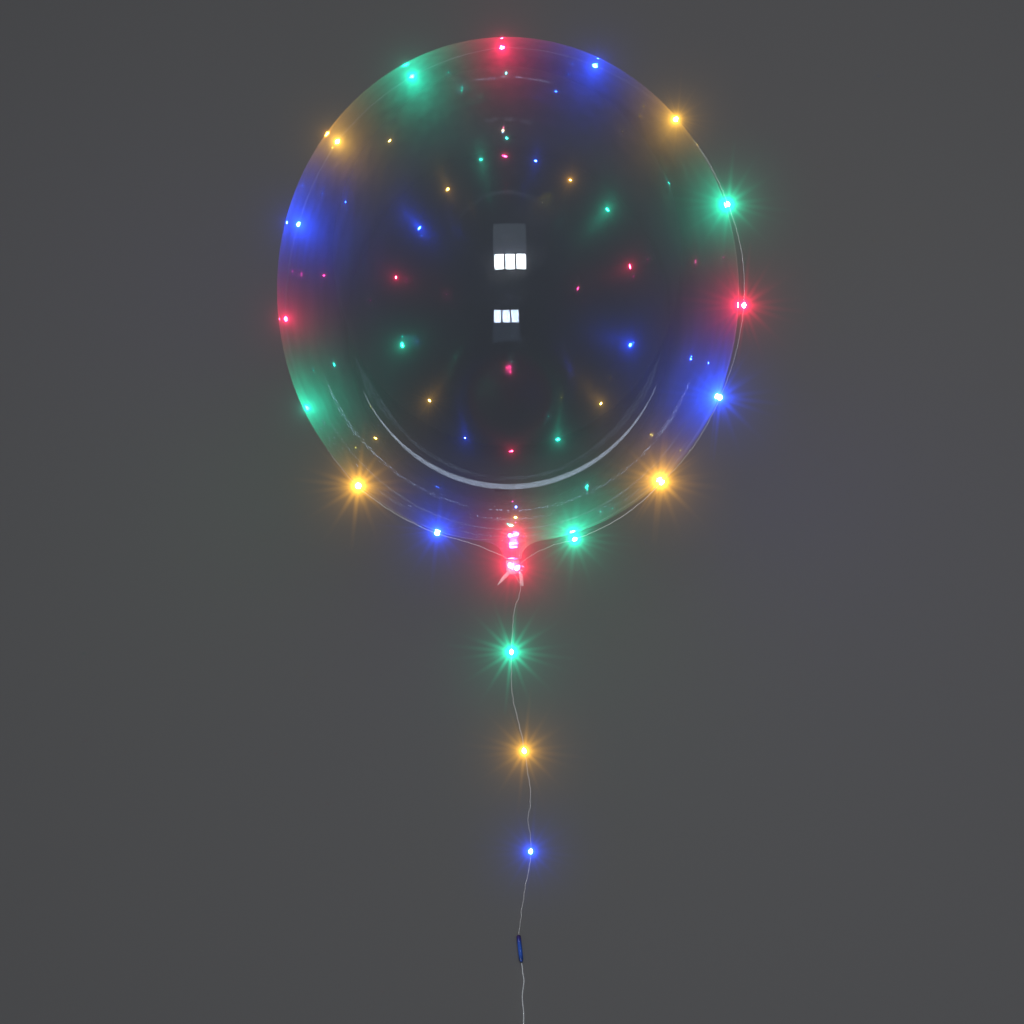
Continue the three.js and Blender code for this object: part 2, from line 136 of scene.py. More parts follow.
# The free end of the string and its lead, in millimetres, as chosen for the part
STRING_POINTS = (
    (1.6, -254.9, 140.6), (3.6, -256.8, 137.6), (6.6, -260.6, 132.0), (7.4, -263.8, 127.6),
    (6.1, -268.6, 121.0), (4.7, -273.1, 115.3), (1.1, -279.1, 107.9), (-0.6, -289.6, 95.6),
    (-1.7, -300.5, 83.9), (-2.9, -313.9, 70.6), (-3.3, -329.9, 56.6), (-3.0, -348.6, 42.3),
    (0.4, -365.2, 31.5), (5.6, -385.4, 20.7), (8.5, -402.7, 13.3), (10.6, -416.0, 9.0),
    (12.7, -431.2, 5.0), (14.2, -443.7, 2.8), (13.2, -458.2, 1.4), (11.0, -470.7, 0.7),
    (12.0, -481.1, 0.6), (13.6, -492.1, 1.3), (13.1, -504.6, 1.9), (12.0, -518.2, 1.2),
    (9.6, -528.4, 0.6), (7.0, -540.5, 1.2), (5.2, -551.2, 0.6), (3.1, -562.8, 1.0),
    (1.3, -575.9, 1.6), (0.0, -585.4, 2.3), (-0.5, -589.0, 2.3),
)
LEAD_POINTS = (
    (1.9, -617.2, 2.3), (2.5, -621.0, 2.0), (3.0, -627.5, 1.2), (4.0, -634.9, 0.8),
    (2.4, -646.7, 0.8), (2.1, -654.6, 1.4), (3.1, -665.4, 0.8), (2.9, -677.2, 0.8),
    (3.0, -688.9, 1.2), (4.2, -694.6, 2.0), (6.2, -698.3, 2.4),
)
LEAD_END_POINTS = (
    (6.2, -711.6, 2.4), (2.4, -714.6, 2.2), (-2.2, -716.6, 3.2), (-6.4, -717.6, 5.0),
    (-10.2, -718.0, 6.0), (-14.4, -718.0, 6.0),
)
COIL_MIDDLE = Vector((0.0132, -0.7049, 0.0022))

# The photograph's camera, in the balloon's upright frame. At the balloon a pixel is a millimetre.
CAMERA_DISTANCE = 2.4
CAMERA_SIDE = 0.00016
CAMERA_BELOW = 0.22004
CAMERA_ROLL = math.radians(1)
SENSOR_WIDTH = 36.0
FRAME_WIDTH = 1.024

# The height of the fine grain in every plain finish
GRAIN_DEPTH = 0.0002

# The film's look. Its painted glow, emission standing in for the drops' light scattered in the film,
# is drawn in across its depth, and streaked along its height.
GLOW_DEPTH_SHARE = 0.18
STREAK_SCALE = (110.0, 110.0, 7.0)
FILM_IOR = 1.75
HAZE_ROUGHNESS = 0.15
CLOSE_GLOW = 4.0
CLOSE_GLOW_FADE = 3.2
KNOT_GLOW_REACH = 0.006
# How brightly the film mirrors every drop, whichever way its chip faces
MIRRORED_SHINE = 1.9

# The drops: the white in their middle, how fast it fades to their ends, and how they narrow
CORE_WHITE = 0.12
HEAT_FADE = 1.3
DROP_NARROWING = 0.25
LAMP_RADIUS = 0.001

# How gently the film bends away from the floor round its flat spot
SPOT_EASE = 0.0015
SPOT_EASE_REACH = 12 * SPOT_EASE
NECK_ROWS = 15
NECK_BEND_DROP = 0.0025
NECK_LIP_SHARE = 0.9
# The neck's pleats: how many, their turn and their weight, then their height and their reach
NECK_PLEATS = ((13, 0.0, 1.0), (29, 1.0, 0.5))
NECK_PLEAT_HEIGHT = 0.045
NECK_PLEAT_REACH = 0.016

# The knot's outline as shares of its radius and length, from its foot to its top
KNOT_OUTLINE = (
    (0, 1), (0.34, 1), (0.62, 0.95), (0.78, 0.86), (0.9, 0.76), (0.92, 0.66), (0.87, 0.56),
    (0.84, 0.44), (0.92, 0.34), (1, 0.24), (0.99, 0.15), (0.94, 0.07), (0.74, 0), (0, 0),
)
KNOT_SIDES = 88
# The knot's pleats: how many, their twist from top to foot and their weight
KNOT_PLEATS = ((11, 3, 1.0), (23, -4, 0.4))
KNOT_PLEAT_DEPTH = 0.05
LOOP_RADIUS = 0.0023
LOOP_FILM_RADIUS = 0.0006
LOOP_STEPS = 28
LOOP_OPEN_STEPS = 4
LOOP_SIDES = 10
LOOP_CENTRE = Vector((KNOT_RADIUS + LOOP_RADIUS - 0.001, 0, KNOT_TOP - KNOT_LENGTH * 0.6))

# The tails' middle lines and half widths, in millimetres: x, depth, down from the knot's foot
POINTED_TAIL = (
    (-1.6, 0.0, -3.4, 1.0), (-3.6, -0.3, -2.6, 1.9), (-6.4, -0.5, 0.6, 2.0),
    (-9.4, -0.2, 3.6, 1.9), (-12.2, 0.2, 7.0, 1.2), (-15.6, 0.4, 10.6, 0.15),
)
SQUARE_TAIL = (
    (4.6, 0.0, -4.6, 0.9), (6.2, -0.3, -2.6, 1.5), (7.9, -0.5, 0.4, 1.7),
    (8.4, -0.2, 3.6, 1.75), (8.6, 0.2, 8.0, 1.8), (8.7, 0.4, 12.0, 1.8),
)
TAIL_THICKNESS = 0.0006
# How each tail's cut edge leans, and how much both turn in depth
POINTED_TAIL_LEAN = -0.35
SQUARE_TAIL_LEAN = 0.02
TAIL_TURN = 0.15

# The shrink sleeve
SLEEVE_TOP = Vector((-0.0006, -0.5896, 0.0023))
SLEEVE_AXIS = Vector((2.2, -24, 0)).normalized()
SLEEVE_RADIUS = 0.0022
SLEEVE_LENGTH = 0.024
SLEEVE_TAPER = 0.003
SLEEVE_LIP = 0.0015
SLEEVE_STEPS = 60
SLEEVE_SIDES = 40
# Its radius as a share of the solid's, of which its lip starts narrower and its taper loses some
SLEEVE_SHARE = 0.95
SLEEVE_LIP_SHARE = 0.82
SLEEVE_TAPER_LOSS = 0.55
# Its shrunk waves: their share of the radius, and the two rates that beat along its length
SLEEVE_WAVE = 0.035
SLEEVE_WAVE_RATES = (2300, 540)

# The battery case: its rounded edges and the ribs of its lid
CASE_ROUNDING = 0.0003
SHARP_ANGLE = 0.6
RIB_INSET = 0.012
RIB_RISE = 0.3
RIB_COUNT = 7
RIB_PITCH = 0.0026
RIB_SIZE = (0.0012, 0.018, 0.0006)

# The stage. The floor lies just below the part, so that they share no face.
FLOOR_SIZE = 20.0
FLOOR_DROP = 0.0002
KEY_PLACE = (0.3, -0.1, 2.2)
KEY_SIZE = 1.6
KEY_TARGET = Vector((0, -0.25, 0))
THIN_LIGHT_PLACE = (-0.9, -1.4, 1.7)
THIN_LIGHT_SIZE = 1.2
THIN_LIGHT_TARGET = Vector((0, -0.3, 0.1))
THIN_PIECES = ("fairy_string", "wound_string", "lead", "shrunk_sleeve", "tied_neck")

# The window light stands before the balloon, where the film mirrors it twice near its middle
WINDOW_PLACE = Vector((0.035, -1.657, 0.225))
WINDOW_PANES = 3
PANE_SIZE = (0.115, 0.165)
PANE_GAP = 0.026
WALL_SIZE = (0.44, 0.36)
WALL_LIFT = 0.28
WALL_SHARE = 0.014
# The share of its brightness that the window keeps after an even number of film faces
EVEN_SHARE = 0.08

# The hoop light stands over the crown, where the film's inside mirrors it as an arc near its foot
HOOP_RADIUS = 1.01
HOOP_WIDTH = 0.08
HOOP_BEHIND = 0.28
HOOP_SWEEP = math.radians(122)
HOOP_LAMPS = 24
HOOP_OVERLAP = 1.01
HOOP_SPREAD = math.radians(32)
HOOP_TIP_SHARE = 0.1
HOOP_TARGET = (-0.178, 0.147, -0.19)

# How often light passes on through the film and its mirrorings, and the most a pass may bring
FILM_BOUNCES = 16
MIRROR_BOUNCES = 10
BRIGHTEST_BOUNCE = 2600.0

# What spreads in the lens: the halo's and the rays' least and greatest brightness
HALO_RANGE = (4.0, 130.0)
HALO_STRENGTH = 0.8
HALO_SIZE = 0.08
RAY_RANGE = (150.0, 4000.0)
# Sets of rays round a bright point: how many, turn in degrees, how slowly they fade, strength
RAYS = ((14, 7, 0.9, 0.0016), (9, 18, 0.86, 0.0016), (4, 84, 0.93, 0.0008))


# Settings

def colour_setting(name, description, default):
    """A colour in the settings, given as its red, green and blue."""
    return FloatVectorProperty(
        name=name, description=description, subtype="COLOR", size=3, default=default
    )


class FilmSettings(PropertyGroup):
    thickness: FloatProperty(
        name="Film thickness", description="Wall of the film", default=0.0004, unit="LENGTH"
    )
    sides: IntProperty(name="Sides", description="Steps round the balloon", default=160)
    rows: IntProperty(name="Rows", description="Steps from neck to crown", default=110)
    tint: colour_setting("Film tint", "Colour of the clear film", (0.74, 0.80, 0.89))
    # The glow painted on the film round each light, as emission standing in for that light scattered
    # in the film: its strength, then how far it carries
    glow: FloatProperty(
        name="Glow", description="How strongly the film glows round a light", default=0.5
    )
    painted_glow_reach: FloatProperty(
        name="Glow reach", description="How far a glow carries", default=0.021, unit="LENGTH"
    )
    haze: FloatProperty(
        name="Haze", description="Weight of the film's soft second gloss", default=0.16
    )


class LightSettings(PropertyGroup):
    blue: colour_setting("Blue", "Blue light", (0.012, 0.07, 1.0))
    yellow: colour_setting("Yellow", "Amber light", (1.0, 0.46, 0.03))
    green: colour_setting("Green", "Blue-green light", (0.004, 0.72, 0.36))
    red: colour_setting("Red", "Red light", (1.0, 0.012, 0.07))
    chip_strength: FloatProperty(
        name="Chip strength", description="Brightness of a lit drop", default=2600.0
    )
    lamp_power: FloatProperty(
        name="Lamp power",
        description="Light that each drop throws on what is near, in watts",
        default=0.004,
    )


class WireSettings(PropertyGroup):
    silver: colour_setting("Wire", "Colour of the wire", (0.86, 0.87, 0.89))
    sleeve: colour_setting("Sleeve", "Colour of the shrink sleeve", (0.02, 0.10, 0.55))
    lead: colour_setting("Lead", "Colour of the lead", (0.58, 0.61, 0.65))
    twist: FloatProperty(
        name="Twist", description="Length of one turn of the strands", default=0.007, unit="LENGTH"
    )


class StageSettings(PropertyGroup):
    floor: colour_setting("Floor", "Colour of the floor", (0.62, 0.62, 0.63))
    key_power: FloatProperty(name="Key", description="Power of the key light", default=4.6)
    thin_piece_power: FloatProperty(
        name="Thin piece light", description="Power of the light on the wire alone", default=17.0
    )
    fill: FloatProperty(name="Fill", description="Strength of the light all round", default=0.04)
    window_strength: FloatProperty(
        name="Window", description="Brightness of the window's panes", default=20.0
    )
    hoop_power: FloatProperty(
        name="Hoop", description="Power of each lamp of the hoop light", default=0.002
    )


def settings():
    """The settings of the balloon that this scene holds."""
    return bpy.context.scene.balloon


# Helpers for places and paths

def mm(points):
    """The points of a list in millimetres, in metres."""
    return [Vector(p) * MM for p in points]


def film_point(latitude):
    """Radius and height of the film's outline, a little fuller towards the neck."""
    fuller = FILM_SHOULDER * math.sin(2 * latitude) ** 2 if latitude < 0 else 0.0
    radius = FILM_RADIUS * math.cos(latitude) * (1 + fuller)
    height = FILM_HALF_LENGTH * math.sin(latitude) * (1 + fuller)
    return radius, height


def over_film(clock, back, stand_off):
    """A place over the film in the upright frame, from its two angles in degrees."""
    turn = math.radians(clock)
    behind = math.radians(back)
    away = Vector(
        (math.cos(behind) * math.sin(turn), math.sin(behind), math.cos(behind) * math.cos(turn))
    )
    across = math.hypot(away.x, away.y)
    latitude = math.atan2(away.z / FILM_HALF_LENGTH, across / FILM_RADIUS)
    return away * (math.hypot(*film_point(latitude)) + stand_off)


def knot_spot(x, down):
    """A place in front of the knot, where the wire crosses it."""
    return Vector((x * MM, -KNOT_RADIUS - BEAD_STAND_OFF, KNOT_TOP - down * MM))


def neck_spot(x, y, up):
    """A place beside the neck, up from its end, in millimetres."""
    return Vector((x * MM, y * MM, NECK_END + up * MM))


def wound_path():
    """The string round the balloon from knot to knot, in the part's frame."""
    places = [
        knot_spot(0.6, 14),
        knot_spot(-1, 10),
        knot_spot(-2.6, 6),
        knot_spot(-4.6, 1.5),
        neck_spot(-8.5, -8.2, 2.5),
        neck_spot(-24, -4.6, 9.6),
        neck_spot(-41, -1.6, 16.4),
    ]
    for light, after in zip(WOUND, WOUND[1:] + (None,)):
        _, clock, back, off, slack = light
        places.append(over_film(clock, back, BEAD_STAND_OFF + off * MM))
        if after is None:
            break
        for step in range(1, STEPS_PER_PITCH):
            share = step / STEPS_PER_PITCH
            bow = slack * math.sin(math.pi * share)
            lift = off + (after[3] - off) * share + bow
            places.append(
                over_film(
                    clock + (after[1] - clock) * share,
                    back + (after[2] - back) * share,
                    WIRE_STAND_OFF + lift * MM,
                )
            )
    places += [
        neck_spot(43.6, -0.8, 14),
        neck_spot(33.3, -2.4, 10),
        neck_spot(26.4, -4, 7.6),
        neck_spot(20.5, -6, 4),
        neck_spot(12.6, -8.6, -0.6),
        knot_spot(7.4, 4.5),
        knot_spot(4.6, 8.5),
        knot_spot(2.4, 12),
    ]
    return [UPRIGHT @ place for place in places]


def smooth_path(points, step):
    """Points a step apart on a smooth curve through the given ones."""
    ends = [points[0] * 2 - points[1], *points, points[-1] * 2 - points[-2]]
    made = []
    for a, b, c, d in zip(ends, ends[1:], ends[2:], ends[3:]):
        pieces = max(1, round((c - b).length / step))
        for n in range(pieces):
            t = n / pieces
            bend = b * 2 + (c - a) * t + (a * 2 - b * 5 + c * 4 - d) * t**2
            made.append(0.5 * (bend + (b * 3 - a - c * 3 + d) * t**3))
    made.append(points[-1].copy())
    return made


def kinked(points, reach, lengths):
    """The same points with small sideways kinks, as in thin wire that has been bent before."""
    frames = path_frames(points)
    made = []
    gone = 0.0
    before = points[0]
    for place, side, upper in frames:
        gone += (place - before).length
        before = place
        waves = [math.sin(2 * math.pi * gone / length + n) for n, length in enumerate(lengths)]
        swing = sum(waves) / len(lengths)
        ease = min(1.0, gone / KINK_START)
        level = Vector((side.x, side.y, 0)) if abs(side.z) < STEEP else Vector((upper.x, upper.y, 0))
        made.append(place + level * reach * swing * ease)
    return made


def path_frames(points):
    """A place, a side and an upper direction at each point, turning as little as they can."""
    side = Vector((1, 0, 0))
    frames = []
    for n, place in enumerate(points):
        ahead = points[min(n + 1, len(points) - 1)] - points[max(n - 1, 0)]
        ahead.normalize()
        side = side - ahead * side.dot(ahead)
        if side.length < 1e-6:
            side = ahead.orthogonal()
        side.normalize()
        frames.append((place, side.copy(), ahead.cross(side)))
    return frames


# Helpers for meshes

def finish_mesh(bm, name, material, smooth=True, body="root"):
    """Turns a bmesh into a piece that rides on the part."""
    mesh = bpy.data.meshes.new(name)
    bm.to_mesh(mesh)
    bm.free()
    if smooth:
        mesh.shade_smooth()
    piece = bpy.data.objects.new(name, mesh)
    bpy.context.scene.collection.objects.link(piece)
    if material is not None:
        mesh.materials.append(material)
    if body:
        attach(piece, body)
    return piece


def sweep(bm, frames, radius, sides, shifts=None):
    """A closed tube along the frames. shifts moves its centre across each frame."""
    rings = []
    for (place, side, upper), shift in zip(frames, shifts or [(0.0, 0.0)] * len(frames)):
        centre = place + side * shift[0] + upper * shift[1]
        made = bmesh.ops.create_circle(bm, segments=sides, radius=radius)
        turn = Matrix((side, upper, side.cross(upper))).transposed().to_4x4()
        bmesh.ops.transform(bm, matrix=Matrix.Translation(centre) @ turn, verts=made["verts"])
        rings.append(made["verts"])
    for before, after in zip(rings, rings[1:]):
        bmesh.ops.bridge_loops(bm, edges=ring_edges(before) + ring_edges(after))
    bmesh.ops.contextual_create(bm, geom=ring_edges(rings[0]))
    bmesh.ops.contextual_create(bm, geom=ring_edges(rings[-1]))


def ring_edges(verts):
    """The edges of one ring of vertices."""
    chosen = set(verts)
    return list({e for v in verts for e in v.link_edges if e.other_vert(v) in chosen})


def spun(profile, sides):
    """A closed solid of revolution about Z from a profile of radius and height."""
    bm = bmesh.new()
    verts = [bm.verts.new((radius, 0, height)) for radius, height in profile]
    edges = [bm.edges.new(pair) for pair in zip(verts, verts[1:])]
    bmesh.ops.spin(
        bm,
        geom=verts + edges,
        cent=(0, 0, 0),
        axis=(0, 0, 1),
        angle=2 * math.pi,
        steps=sides,
        use_merge=True,
    )
    bmesh.ops.remove_doubles(bm, verts=bm.verts, dist=1e-7)
    bmesh.ops.recalc_face_normals(bm, faces=bm.faces)
    return bm


# Helpers for materials

def new_material(name):
    """A material and its shader."""
    material = bpy.data.materials.new(name)
    material.use_nodes = True
    shader = material.node_tree.nodes["Principled BSDF"]
    return material, shader


def add(tree, kind, **values):
    """A new node with the given properties."""
    node = tree.nodes.new(kind)
    for key, value in values.items():
        setattr(node, key, value)
    return node


def set_inputs(node, **values):
    """Plain values on a node's sockets. An underscore stands for a space in a socket's name."""
    for label, value in values.items():
        node.inputs[label.replace("_", " ")].default_value = value


def math_node(tree, operation, first, second=None):
    """The outcome of a sum on one or two sockets or numbers."""
    node = add(tree, "ShaderNodeMath", operation=operation)
    for socket, value in zip(node.inputs, (first, second)):
        if value is None:
            continue
        if isinstance(value, (int, float)):
            socket.default_value = value
        else:
            tree.links.new(value, socket)
    return node.outputs[0]


def vector_node(tree, operation, first, second):
    """The outcome of a sum on two sockets or vectors."""
    node = add(tree, "ShaderNodeVectorMath", operation=operation)
    for socket, value in zip(node.inputs, (first, second)):
        if isinstance(value, (tuple, Vector)):
            socket.default_value = value
        else:
            tree.links.new(value, socket)
    return node.outputs[0]


def scaled(tree, vector, factor):
    """A vector's or colour's socket times a number's socket."""
    node = add(tree, "ShaderNodeVectorMath", operation="SCALE")
    tree.links.new(vector, node.inputs[0])
    tree.links.new(factor, node.inputs["Scale"])
    return node.outputs[0]


def new_group(name, inputs, outputs):
    """A node group's tree with its input and output nodes."""
    tree = bpy.data.node_groups.new(name, "ShaderNodeTree")
    for label, kind, default in inputs:
        socket = tree.interface.new_socket(label, in_out="INPUT", socket_type=kind)
        if default is not None:
            socket.default_value = default
    for label, kind in outputs:
        tree.interface.new_socket(label, in_out="OUTPUT", socket_type=kind)
    return tree, tree.nodes.new("NodeGroupInput"), tree.nodes.new("NodeGroupOutput")


def place_group(tree, group, **values):
    """A node that uses a group, with plain values on its sockets."""
    node = add(tree, "ShaderNodeGroup", node_tree=group)
    set_inputs(node, **values)
    return node


def group_named(name, build):
    """The node group of that name, built the first time it is asked for."""
    return bpy.data.node_groups.get(name) or build(name)


def build_one_painted_glow(name):
    """The glow painted on the film for one light: its colour, fading with the distance from it."""
    tree, given, made = new_group(
        name,
        [
            ("Place", "NodeSocketVector", None),
            ("Light", "NodeSocketVector", None),
            ("Colour", "NodeSocketColor", (1, 1, 1, 1)),
            ("Reach", "NodeSocketFloat", 0.03),
        ],
        [("Glow", "NodeSocketColor")],
    )
    apart = add(tree, "ShaderNodeVectorMath", operation="DISTANCE")
    tree.links.new(given.outputs["Place"], apart.inputs[0])
    tree.links.new(given.outputs["Light"], apart.inputs[1])
    share = math_node(tree, "DIVIDE", apart.outputs["Value"], given.outputs["Reach"])
    wide = math_node(tree, "EXPONENT", math_node(tree, "MULTIPLY", share, -1.0))
    close = math_node(tree, "EXPONENT", math_node(tree, "MULTIPLY", share, -CLOSE_GLOW_FADE))
    fading = math_node(tree, "ADD", wide, math_node(tree, "MULTIPLY", close, CLOSE_GLOW))
    tree.links.new(scaled(tree, given.outputs["Colour"], fading), made.inputs["Glow"])
    return tree


def flattened(place):
    """A place seen in the upright frame with its depth drawn in, as the painted glow spreads."""
    local = UPRIGHT.inverted() @ place
    return Vector((local.x, local.y * GLOW_DEPTH_SHARE, local.z))


def build_film_glow(name):
    """All the glow painted on the film: emission standing in for what each light throws on the film
    near it.
    """
    tree, given, made = new_group(
        name,
        [("Reach", "NodeSocketFloat", 0.03)],
        [("Glow", "NodeSocketColor")],
    )
    where = add(tree, "ShaderNodeTexCoord")
    moved = vector_node(tree, "SUBTRACT", where.outputs["Object"], CENTRE)
    turned = add(tree, "ShaderNodeVectorRotate", rotation_type="X_AXIS")
    set_inputs(turned, Angle=-TILT)
    tree.links.new(moved, turned.inputs["Vector"])
    place = vector_node(tree, "MULTIPLY", turned.outputs[0], (1.0, GLOW_DEPTH_SHARE, 1.0))
    one = group_named("one_light_glow", build_one_painted_glow)
    total = None
    for light, colour, share in zip(LIGHT_NAMES, light_colours(), PAINTED_GLOW_SHARES):
        if share == 0:
            continue
        low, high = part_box(light)
        lit = tuple(share * c for c in colour)
        glow = place_group(tree, one, Light=flattened((low + high) / 2), Colour=(*lit, 1.0))
        tree.links.new(place, glow.inputs["Place"])
        tree.links.new(given.outputs["Reach"], glow.inputs["Reach"])
        if total is None:
            total = glow.outputs["Glow"]
        else:
            total = vector_node(tree, "ADD", total, glow.outputs["Glow"])
    # Streaks along the film's height, which make the painted glow uneven
    streak = add(tree, "ShaderNodeTexNoise")
    set_inputs(streak, Scale=1.0, Detail=3.0)
    drawn = vector_node(tree, "MULTIPLY", turned.outputs[0], STREAK_SCALE)
    tree.links.new(drawn, streak.inputs["Vector"])
    uneven = math_node(tree, "ADD", streak.outputs[0], 0.5)
    tree.links.new(scaled(tree, total, uneven), made.inputs["Glow"])
    return tree


def build_fine_grain(name):
    """A fine uneven grain that moves a roughness and gives a height for bump."""
    tree, given, made = new_group(
        name,
        [
            ("Scale", "NodeSocketFloat", 400.0),
            ("Base Roughness", "NodeSocketFloat", 0.4),
            ("Spread", "NodeSocketFloat", 0.1),
        ],
        [("Roughness", "NodeSocketFloat"), ("Height", "NodeSocketFloat")],
    )
    where = add(tree, "ShaderNodeTexCoord")
    noise = add(tree, "ShaderNodeTexNoise")
    set_inputs(noise, Detail=4.0)
    tree.links.new(where.outputs["Object"], noise.inputs["Vector"])
    tree.links.new(given.outputs["Scale"], noise.inputs["Scale"])
    centred = math_node(tree, "SUBTRACT", noise.outputs[0], 0.5)
    swing = math_node(tree, "MULTIPLY", centred, given.outputs["Spread"])
    total = math_node(tree, "ADD", swing, given.outputs["Base Roughness"])
    tree.links.new(total, made.inputs["Roughness"])
    tree.links.new(noise.outputs[0], made.inputs["Height"])
    return tree


def light_colours():
    """The colour of each light, in their order."""
    lights = settings().lights
    return [tuple(getattr(lights, name.split("_")[2])) for name in LIGHT_NAMES]


def grained(
    name, colour, roughness, spread, scale, bump, metallic=0.0, coat=0.0, depth=GRAIN_DEPTH
):
    """A plain finish with the shared fine grain in its roughness and bump."""
    material, shader = new_material(name)
    tree = material.node_tree
    set_inputs(shader, Base_Color=(*colour, 1.0), Metallic=metallic, Coat_Weight=coat)
    grain = place_group(
        tree,
        group_named("fine_grain", build_fine_grain),
        Scale=scale,
        Base_Roughness=roughness,
        Spread=spread,
    )
    bumped = add(tree, "ShaderNodeBump")
    set_inputs(bumped, Strength=bump, Distance=depth)
    tree.links.new(grain.outputs["Roughness"], shader.inputs["Roughness"])
    tree.links.new(grain.outputs["Height"], bumped.inputs["Height"])
    tree.links.new(bumped.outputs["Normal"], shader.inputs["Normal"])
    return material


def film_material(name, painted_glow_strength):
    """Clear stretch film: see-through and glossy, with glow painted round each light as emission."""
    material, shader = new_material(name)
    tree = material.node_tree
    film = settings().film
    set_inputs(
        shader,
        Base_Color=(*film.tint, 1.0),
        Roughness=0.0,
        IOR=FILM_IOR,
        Transmission_Weight=1.0,
        Coat_Weight=film.haze,
        Coat_Roughness=HAZE_ROUGHNESS,
        Emission_Strength=painted_glow_strength,
    )
    # The painted glow: emission round each light, standing in for its light scattered in the film
    glow = place_group(tree, group_named("film_glow", build_film_glow), Reach=film.painted_glow_reach)
    tree.links.new(glow.outputs["Glow"], shader.inputs["Emission Color"])
    return material


def drop_material(name, colour, strength):
    """A lit resin drop: nearly white at its middle, its own colour towards its ends."""
    material, shader = new_material(name)
    material.cycles.emission_sampling = "NONE"
    tree = material.node_tree
    heat = add(tree, "ShaderNodeAttribute", attribute_name="heat")
    blend = add(tree, "ShaderNodeMix", data_type="RGBA")
    core = [CORE_WHITE + (1 - CORE_WHITE) * c for c in colour]
    set_inputs(blend, A=(*colour, 1.0), B=(*core, 1.0))
    tree.links.new(heat.outputs["Fac"], blend.inputs["Factor"])
    shine = add(tree, "ShaderNodeAttribute", attribute_name="shine").outputs["Fac"]
    path = add(tree, "ShaderNodeLightPath")
    mirrored = math_node(tree, "MINIMUM", path.outputs["Glossy Depth"], 1.0)
    missing = math_node(tree, "SUBTRACT", MIRRORED_SHINE, shine)
    change = math_node(tree, "MULTIPLY", missing, mirrored)
    total = math_node(tree, "ADD", shine, change)
    shone = scaled(tree, blend.outputs["Result"], total)
    tree.links.new(shone, shader.inputs["Emission Color"])
    resin = [0.4 + 0.5 * c for c in colour]
    set_inputs(
        shader,
        Emission_Strength=strength,
        Base_Color=(*resin, 1.0),
        Roughness=0.15,
        Coat_Weight=0.6,
    )
    return material


# Pieces

class BALLOON_OT_camera(Operator):
    """The photograph's camera: it looks down on the balloon, square to its axis"""

    bl_idname = "balloon.camera"
    bl_label = "Camera"

    def execute(self, context):
        data = bpy.data.cameras.new("camera")
        data.sensor_width = SENSOR_WIDTH
        data.lens = SENSOR_WIDTH * CAMERA_DISTANCE / FRAME_WIDTH
        camera = bpy.data.objects.new("camera", data)
        context.scene.collection.objects.link(camera)
        across = Vector((math.cos(CAMERA_ROLL), 0, -math.sin(CAMERA_ROLL)))
        up = Vector((math.sin(CAMERA_ROLL), 0, math.cos(CAMERA_ROLL)))
        turn = Matrix((across, up, across.cross(up))).transposed().to_4x4()
        place = Vector((CAMERA_SIDE, -CAMERA_DISTANCE, -CAMERA_BELOW))
        camera.matrix_world = UPRIGHT @ Matrix.Translation(place) @ turn
        context.scene.camera = camera
        return {"FINISHED"}


class BALLOON_OT_cords(Operator):
    """The free end of the string, of two twisted strands, and the lead with its coil"""

    bl_idname = "balloon.cords"
    bl_label = "Free string and lead"

    def execute(self, context):
        look = settings().wire
        silver = wire_material()
        string_path = kinked(smooth_path(mm(STRING_POINTS), FREE_STEP), FREE_KINK, KINK_LENGTHS)
        string = twisted_wire("fairy_string", string_path, silver)
        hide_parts("string_wire")
        lead_material = grained("lead_cover", tuple(look.lead), 0.38, 0.15, 900.0, 0.25, coat=0.2)
        lead_path = smooth_path(lead_route(), FREE_STEP)
        bm = bmesh.new()
        sweep(bm, path_frames(lead_path), LEAD_RADIUS, LEAD_SIDES)
        bmesh.ops.recalc_face_normals(bm, faces=bm.faces)
        lead = finish_mesh(bm, "lead", lead_material)
        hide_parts("lead_wire", "lead_coil", "lead_end")
        return {"FINISHED"}


def lead_route():
    """The lead's points: in from the sleeve, round the coil and out to the case."""
    first = mm(LEAD_POINTS)
    last = mm(LEAD_END_POINTS)
    whole_turn = COIL_TURNS * 2 * math.pi - (COIL_STOP - COIL_START)
    points = []
    steps = COIL_TURN_STEPS * COIL_TURNS
    for n in range(steps + 1):
        share = n / steps
        turn = COIL_START - whole_turn * share
        lane = share * COIL_TURNS
        inner = -1 if int(lane) % 2 else 1
        upper = 1 if lane >= COIL_TURNS / 2 else -1
        ease = 0.5 - 0.5 * math.cos(math.pi * min(1, (lane % 1) * COIL_CROSSINGS))
        before = -inner if lane >= 1 else inner
        radius = COIL_RADIUS + LEAD_RADIUS * (before + (inner - before) * ease)
        lift = upper
        if COIL_TURNS / 2 <= lane < COIL_TURNS / 2 + 1:
            lift = -1 + 2 * ease
        away = Vector((radius * math.cos(turn), radius * math.sin(turn), LEAD_RADIUS * lift))
        points.append(COIL_MIDDLE + away)
    return [*first[:-1], *points, *last[1:]]


def wire_material():
    """The wire's lacquered metal, which both stretches of the string share."""
    found = bpy.data.materials.get("lacquered_wire")
    if found:
        return found
    silver = tuple(settings().wire.silver)
    return grained("lacquered_wire", silver, 0.34, 0.2, 2500.0, 0.3, metallic=0.3, coat=0.4)


def twisted_wire(name, path, material):
    """Two fine strands twisted about each other along a path."""
    frames = path_frames(path)
    strand = WIRE_RADIUS * 0.5
    turn_length = settings().wire.twist
    along = [0.0]
    for a, b in zip(path, path[1:]):
        along.append(along[-1] + (b - a).length)
    bm = bmesh.new()
    for half in (0.0, math.pi):
        turns = [2 * math.pi * far / turn_length + half for far in along]
        shifts = [(strand * math.cos(turn), strand * math.sin(turn)) for turn in turns]
        sweep(bm, frames, strand, STRAND_SIDES, shifts)
    bmesh.ops.recalc_face_normals(bm, faces=bm.faces)
    return finish_mesh(bm, name, material)


